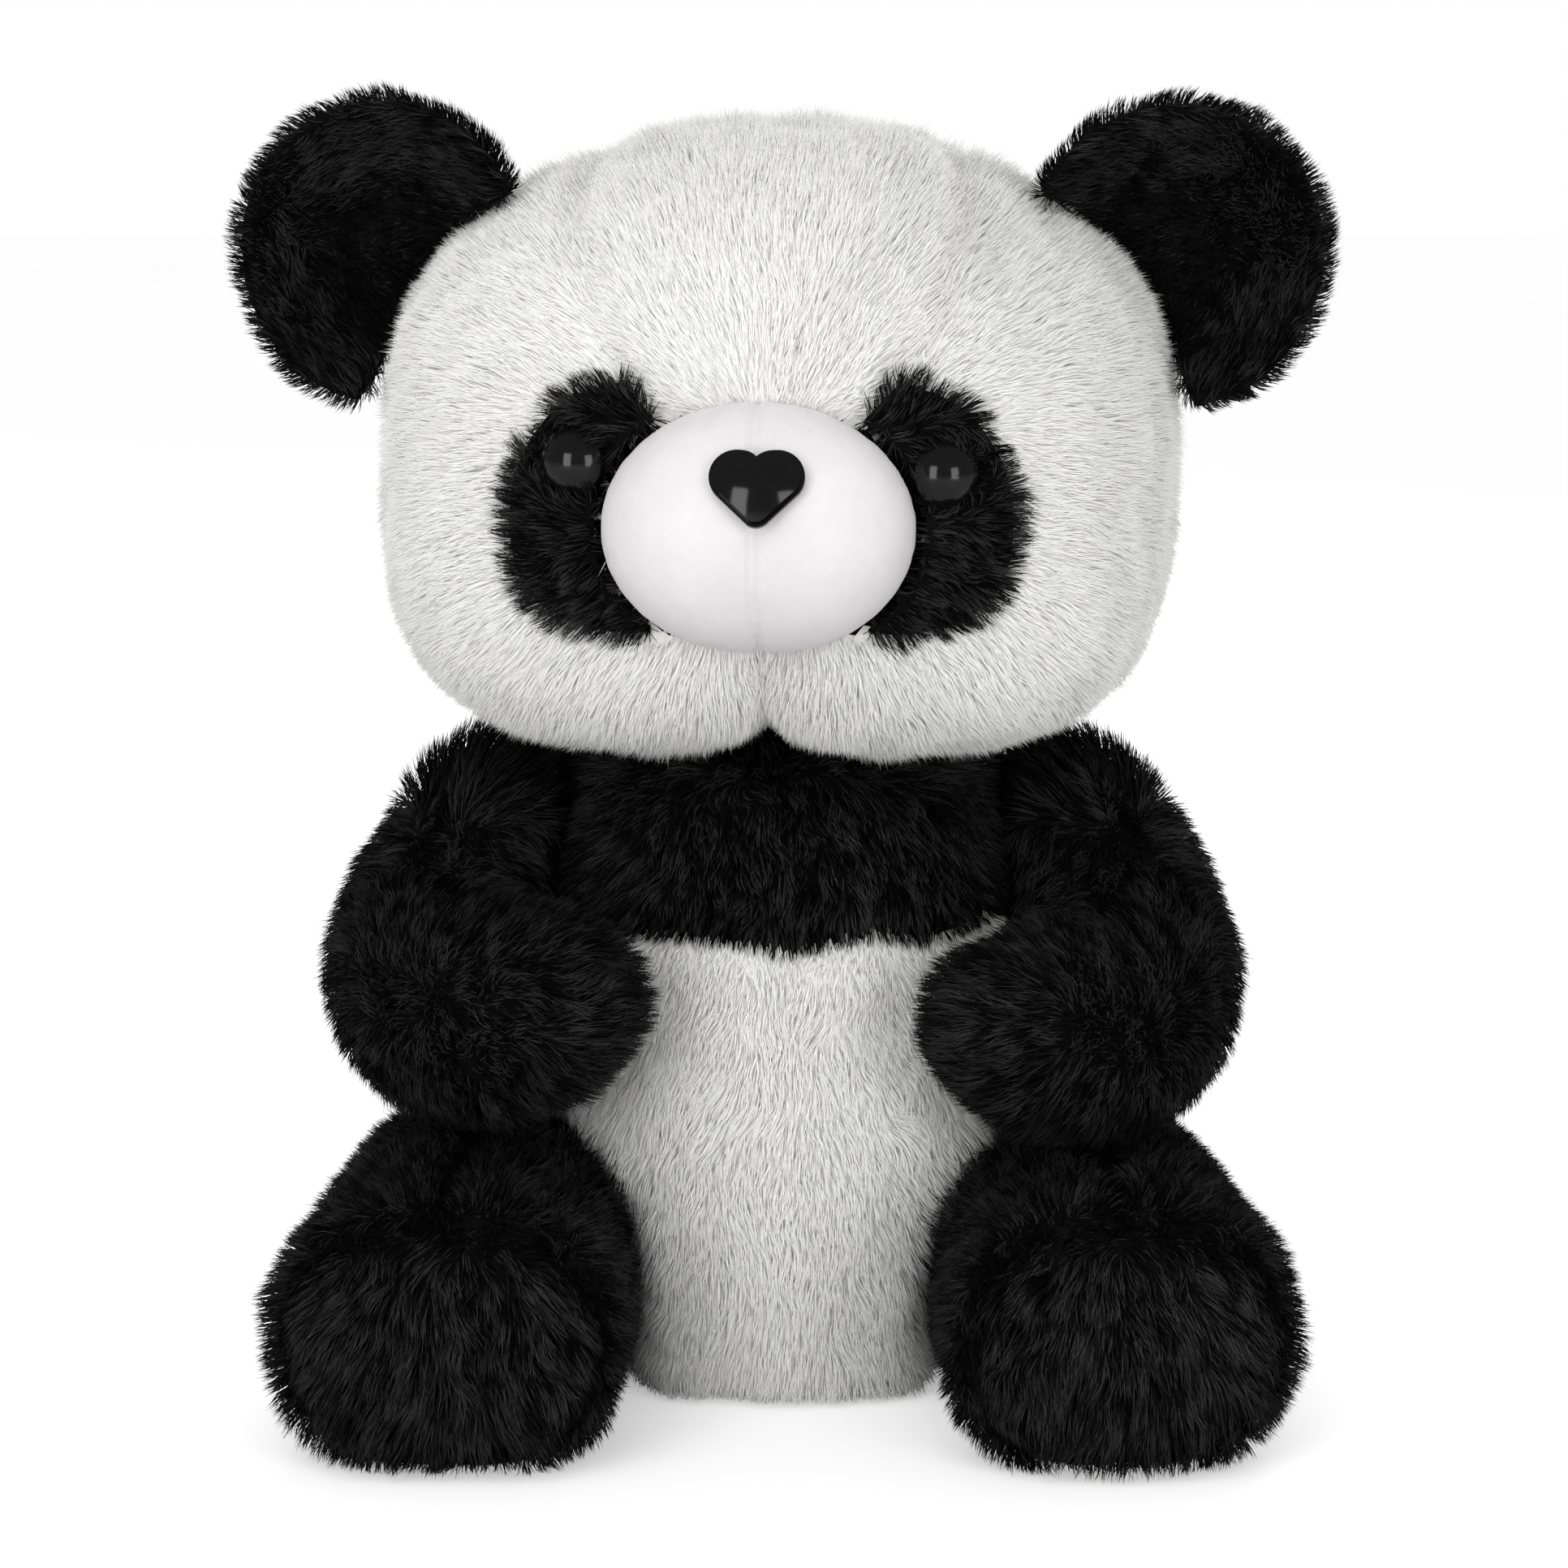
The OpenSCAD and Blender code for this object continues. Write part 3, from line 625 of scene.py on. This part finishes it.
for side in SIDES:
    patch = [f"{side}_eye_patch"]
    ear = [f"{side}_ear_front", f"{side}_ear_back"]
    arm = ([f"{side}_arm_outer_panel", f"{side}_arm_inner_panel"], [f"{side}_arm_stuffing"])
    leg = ([f"{side}_leg_outer_panel", f"{side}_leg_inner_panel", f"{side}_sole"], [f"{side}_leg_stuffing"])
    patches[side] = stuffed(wrap(f"{side}_patch_skin", patch, [], voxel=1.2 * MM), patch, smooth=3)
    ears[side] = stuffed(wrap(f"{side}_ear_skin", ear, [], voxel=1.8 * MM), ear, seam=0.6 * MM)
    limbs[side, "arm"] = stuffed(wrap(f"{side}_arm_skin", *arm, voxel=3 * MM, grow=2.4 * MM), *arm)
    limbs[side, "leg"] = stuffed(wrap(f"{side}_leg_skin", *leg, voxel=3 * MM, grow=2.4 * MM), *leg)


def dress(skin, body, materials, white_panels=()):
    """Gives a skin its materials, by panel, and lets it ride on its body."""
    for material in materials:
        skin.obj.data.materials.append(material)
    if white_panels:
        white = np.isin(skin.region, [skin.panels.index(p) for p in white_panels])
        skin.obj.data.polygons.foreach_set("material_index", np.where(white, 0, 1).astype(np.int32))
    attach(skin.obj, body)


dress(head, "head", [white_base])
dress(torso, "torso", [white_base, black_base], WHITE_TORSO)
dress(muzzle, "head", [velboa])
dress(tail, "torso", [white_base])
for side in SIDES:
    dress(patches[side], "head", [black_base])
    dress(ears[side], f"{side}_ear", [black_base])
    dress(limbs[side, "arm"], f"{side}_arm", [black_base])
    dress(limbs[side, "leg"], f"{side}_leg", [black_base])


def toward(direction):
    """A nap that lies the same way everywhere."""
    way = np.array(direction, float)
    return lambda roots, normals: along_skin(np.broadcast_to(way, roots.shape), normals)


def near_top(roots, node, band, start):
    """From 0 to 1 over one band of height. start is how many bands below the node's top it begins."""
    return np.clip((roots[:, 2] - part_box(node)[1][2]) / band + start, 0, 1)


def torso_nap(roots, normals):
    """Down the body, but outwards over its top edge, where it fills the gap under the head."""
    edge = near_top(roots, "chest_panel", 8 * MM, 2)[:, None]
    level = np.array([1, 1, 0])
    outward = unit(roots * level - centre_of("body_stuffing") * level)
    return along_skin(mix(np.broadcast_to(DOWN, roots.shape), outward + 0.5 * normals, edge), normals)


def collar_length(roots):
    """Pile along the top edge of the body is left longer."""
    return 1 + 0.5 * near_top(roots, "chest_panel", 8 * MM, 2)


def away_from(place, drop=0.0):
    """A nap that fans out from a place and falls a little."""
    middle = np.array(place, float)
    return lambda roots, normals: along_skin(unit(roots - middle) + drop * DOWN, normals)


muzzle_centre = centre_of("muzzle_stuffing")
face_nap = away_from(muzzle_centre, 0.35)
muzzle_tree = skin_tree(muzzle.obj)
head_tree = skin_tree(head.obj)
torso_tree = skin_tree(torso.obj)
patch_trees = [skin_tree(patches[side].obj) for side in SIDES]
off_patches = [clear_of(tree, 0.6 * MM) for tree in patch_trees]
off_limbs = [clear_of(skin_tree(limb.obj), 0.5 * MM) for limb in limbs.values()]
off_torso = clear_of(torso_tree, 1 * MM)
off_head = clear_of(head_tree, 1 * MM)


def beside_patch(places):
    """True in the narrow gap between the muzzle and an eye patch."""
    near_patch = np.any([~clear_of(tree, PATCH_GAP)(places) for tree in patch_trees], axis=0)
    return near_patch & ~clear_of(muzzle_tree, PATCH_GAP)(places)


def off_gap(places):
    return ~beside_patch(places)


middles = np.array([polygon.center for polygon in head.obj.data.polygons])
head.obj.data.materials.append(black_base)
head.obj.data.polygons.foreach_set("material_index", beside_patch(middles).astype(np.int32))

for k, panel in enumerate(HEAD_PANELS):
    grow(panel.replace("panel", "fur"), "head", head, panel, HEAD_WHITE, face_nap,
         [clear_of(muzzle_tree, 1.5 * MM), off_gap, off_torso] + off_patches,
         SEEDS["head"] + k, thin=BACK_THIN if "back" in panel else 1.0)
for k, panel in enumerate(WHITE_TORSO[:-1] + BLACK_TORSO):
    coat = BELLY_PAINTED_SHADE_WHITE if panel in WHITE_TORSO else LONG_BLACK
    grow(panel.replace("panel", "fur"), "torso", torso, panel, coat, torso_nap, off_limbs + [off_head],
         SEEDS["torso"] + k, collar_length, BACK_THIN if "back" in panel else 1.0)
grow("tail_fur", "torso", tail, "tail", BELLY_PAINTED_SHADE_WHITE, toward(DOWN), [clear_of(torso_tree, 0)], SEEDS["tail"])


def eye_nap(side):
    """Fur of an eye patch fans out from the muzzle, but leans over the eye's rim and against the muzzle."""
    eye = centre_of(f"{side}_eye")

    def nap(roots, normals):
        outward = unit(roots - muzzle_centre)
        rim = bell(depths(roots, muzzle_tree)[:, None], 5 * MM)
        gap = np.linalg.norm(roots - eye, axis=1, keepdims=True)
        over_eye = 0.85 * bell(gap - EYE_RING, 4 * MM)
        return along_skin(mix(outward * (1 - 2 * rim), unit(eye - roots), over_eye), normals)

    return nap


def clear_of_eye(side):
    """No pile under an eye, and short pile around it."""
    eye = centre_of(f"{side}_eye")
    low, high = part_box(f"{side}_eye")
    radius = (high[2] - low[2]) / 2

    def trim(roots):
        gap = np.linalg.norm((roots - eye)[:, [0, 2]], axis=1)
        return np.clip((gap - radius * 0.8) / (2.5 * MM), 0, 1)

    return trim


def pocket(side):
    """Pile on the front of an ear is short in its hollow and long at the rim. The short strands of the hollow
    also take the darkest tones, painted shade.
    """
    low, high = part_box(f"{side}_ear_back")
    radius = (high[2] - low[2]) / 2
    middle = centre_of(f"{side}_ear_back") - radius * np.array([0.15 * SIDES[side], 0, 0.1])

    def trim(roots):
        gap = np.linalg.norm((roots - middle)[:, [0, 2]], axis=1) / radius
        return mix(0.35, 1.0, np.clip((gap - 0.4) / 0.3, 0, 1))

    return trim


def shoulder_length(side):
    """Pile on top of the shoulder is left longer, and closes the gap to the head."""
    return lambda roots: 1 + 0.6 * near_top(roots, f"{side}_arm_outer_panel", 10 * MM, 1.6)


def arm_nap(side):
    """Down the arm, then inwards along the forearm to the paw, and over to the neck on top."""
    start = centre_of(f"{side}_arm_stuffing")[1]

    def nap(roots, normals):
        share = np.clip((start - roots[:, 1:2]) / (50 * MM) + 0.5, 0, 1)
        crest = near_top(roots, f"{side}_arm_outer_panel", 10 * MM, 2)[:, None]
        upper = np.array([0.2 * SIDES[side], -0.5, -0.9])
        lower = np.array([-0.9 * SIDES[side], -0.3, 0.1])
        over = np.array([-0.9 * SIDES[side], -0.2, 0.7])
        return along_skin(mix(mix(upper, lower, share), over, crest), normals)

    return nap


for k, (side, sign) in enumerate(SIDES.items()):
    grow(f"{side}_patch_fur", "head", patches[side], f"{side}_eye_patch", PATCH_BLACK, eye_nap(side),
         [clear_of(muzzle_tree, 0.2 * MM)], SEEDS["patch"] + k, clear_of_eye(side))
    for j, face in enumerate(("front", "back")):
        grow(f"{side}_ear_{face}_fur", f"{side}_ear", ears[side], f"{side}_ear_{face}", LONG_BLACK,
             away_from(centre_of("head_stuffing")), [clear_of(head_tree, 0)],
             SEEDS["ear"] + 2 * k + j, pocket(side) if face == "front" else None)
    arm, leg = f"{side}_arm", f"{side}_leg"
    for j, half in enumerate(("outer", "inner")):
        grow(f"{arm}_{half}_fur", arm, limbs[side, "arm"], f"{arm}_{half}_panel", LONG_BLACK,
             arm_nap(side), [off_torso, off_head], SEEDS["arm"] + 2 * k + j, shoulder_length(side))
        grow(f"{leg}_{half}_fur", leg, limbs[side, "leg"], f"{leg}_{half}_panel", LONG_BLACK,
             toward((0.1 * sign, -1, -0.25)), [off_torso], SEEDS["leg"] + 2 * k + j)
    grow(f"{side}_sole_fur", leg, limbs[side, "leg"], f"{side}_sole", LONG_BLACK,
         away_from(centre_of(f"{leg}_stuffing"), 0.3), (), SEEDS["sole"] + k)

for node, material in (
    ("nose", black_plastic), ("left_eye", black_plastic), ("right_eye", black_plastic),
    ("nose_washer", washer_plastic), ("eye_washers", washer_plastic),
):
    mesh = frame["nodes"][node].data
    mesh.materials.clear()
    mesh.materials.append(material)


def care_label():
    """The woven label hangs from the side seam: sewn along one edge, with the free edge curling a little."""
    low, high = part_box("care_label")
    run = np.array([high[0] - low[0], high[1] - low[1], 0])
    across = unit(np.cross(run, DOWN))
    steps = 12
    points = []
    for row in range(steps + 1):
        for column in range(steps + 1):
            out, down = column / steps, row / steps
            curl = LABEL_CURL * out**2 * math.sin(math.pi * (0.2 + 0.8 * down))
            points.append(np.array([low[0], low[1], mix(high[2], low[2], down)]) + run * out + across * curl)
    wide = steps + 1
    corners = [row * wide + column for row in range(steps) for column in range(steps)]
    obj = mesh_object("care_label_tape", points, [(c, c + 1, c + wide + 1, c + wide) for c in corners])
    thickness = obj.modifiers.new("thickness", "SOLIDIFY")
    thickness.thickness = 0.4 * MM
    thickness.offset = 0
    apply_modifiers(obj)
    obj.data.materials.append(label_tape)
    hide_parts("care_label")
    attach(obj, "torso")


care_label()


# ---------- light, floor and camera ----------


def aim(obj, target):
    obj.rotation_euler = (Vector(target) - obj.location).to_track_quat("-Z", "Y").to_euler()


def area_light(name, place, size, power):
    light = bpy.data.lights.new(name, "AREA")
    light.shape = "RECTANGLE"
    light.size, light.size_y = size
    light.energy = power
    obj = bpy.data.objects.new(name, light)
    bpy.context.collection.objects.link(obj)
    obj.location = place
    aim(obj, CAMERA_TARGET)


def sun_light(place, strength, spread):
    light = bpy.data.lights.new("sun", "SUN")
    light.energy = strength
    light.angle = math.radians(spread)
    obj = bpy.data.objects.new("sun", light)
    bpy.context.collection.objects.link(obj)
    obj.location = place
    obj.visible_glossy = False
    aim(obj, CAMERA_TARGET)


def world():
    """White backdrop, a little dimmer as a light than as it looks."""
    sky = bpy.data.worlds.new("studio")
    bpy.context.scene.world = sky
    sky.use_nodes = True
    nodes, links = sky.node_tree.nodes, sky.node_tree.links
    seen = nodes.new("ShaderNodeLightPath")
    lit = nodes.new("ShaderNodeMapRange")
    mirrored = nodes.new("ShaderNodeMapRange")
    set_inputs(lit, To_Min=0.5, To_Max=1.0)
    set_inputs(mirrored, To_Max=0.25)
    links.new(seen.outputs["Is Camera Ray"], lit.inputs["Value"])
    links.new(seen.outputs["Is Glossy Ray"], mirrored.inputs["Value"])
    links.new(lit.outputs["Result"], mirrored.inputs["To Min"])
    links.new(mirrored.outputs["Result"], nodes["Background"].inputs["Strength"])
    set_inputs(nodes["Background"], Color=(1, 1, 1, 1))


def floor():
    """Pale floor that the camera sees as white as the backdrop, but that throws little light upwards."""
    half = 4.0
    corners = [(-half, -half, 0), (half, -half, 0), (half, half, 0), (-half, half, 0)]
    obj = mesh_object("floor", corners, [(0, 1, 2, 3)])
    material, tree, shader = new_material("pale_floor")
    greys = [(0.3, (0.74, 0.74, 0.74)), (0.7, (0.76, 0.76, 0.76))]
    tone = ramp(tree, noise(tree, 3, 2).outputs["Fac"], greys)
    tree.links.new(tone.outputs["Color"], shader.inputs["Base Color"])
    set_inputs(shader, Roughness=0.7, Specular_IOR_Level=0.2, Emission_Color=(1, 1, 1, 1))
    seen = tree.nodes.new("ShaderNodeLightPath")
    glow = tree.nodes.new("ShaderNodeMapRange")
    set_inputs(glow, To_Max=FLOOR_GLOW)
    tree.links.new(seen.outputs["Is Camera Ray"], glow.inputs["Value"])
    tree.links.new(glow.outputs["Result"], shader.inputs["Emission Strength"])
    obj.data.materials.append(material)


def camera():
    rise = math.radians(CAMERA_RISE)
    lens = bpy.data.cameras.new("camera")
    lens.angle = math.radians(CAMERA_ANGLE)
    obj = bpy.data.objects.new("camera", lens)
    bpy.context.collection.objects.link(obj)
    obj.location = Vector(CAMERA_TARGET) + CAMERA_DISTANCE * Vector((0, -math.cos(rise), math.sin(rise)))
    aim(obj, CAMERA_TARGET)
    bpy.context.scene.camera = obj


world()
floor()
camera()
sun_light(place=(-0.3, -0.9, 1.35), strength=1.05, spread=45)
area_light("key", place=(-0.8, -1.4, 0.5), size=(0.6, 1.0), power=9)
area_light("fill", place=(0.9, -1.3, 0.35), size=(0.6, 1.0), power=8.5)
area_light("back", place=(0.5, 1.6, 0.8), size=(1.2, 0.8), power=9)
bpy.context.scene.view_settings.view_transform = "Standard"
bpy.context.scene.cycles.diffuse_bounces = 8
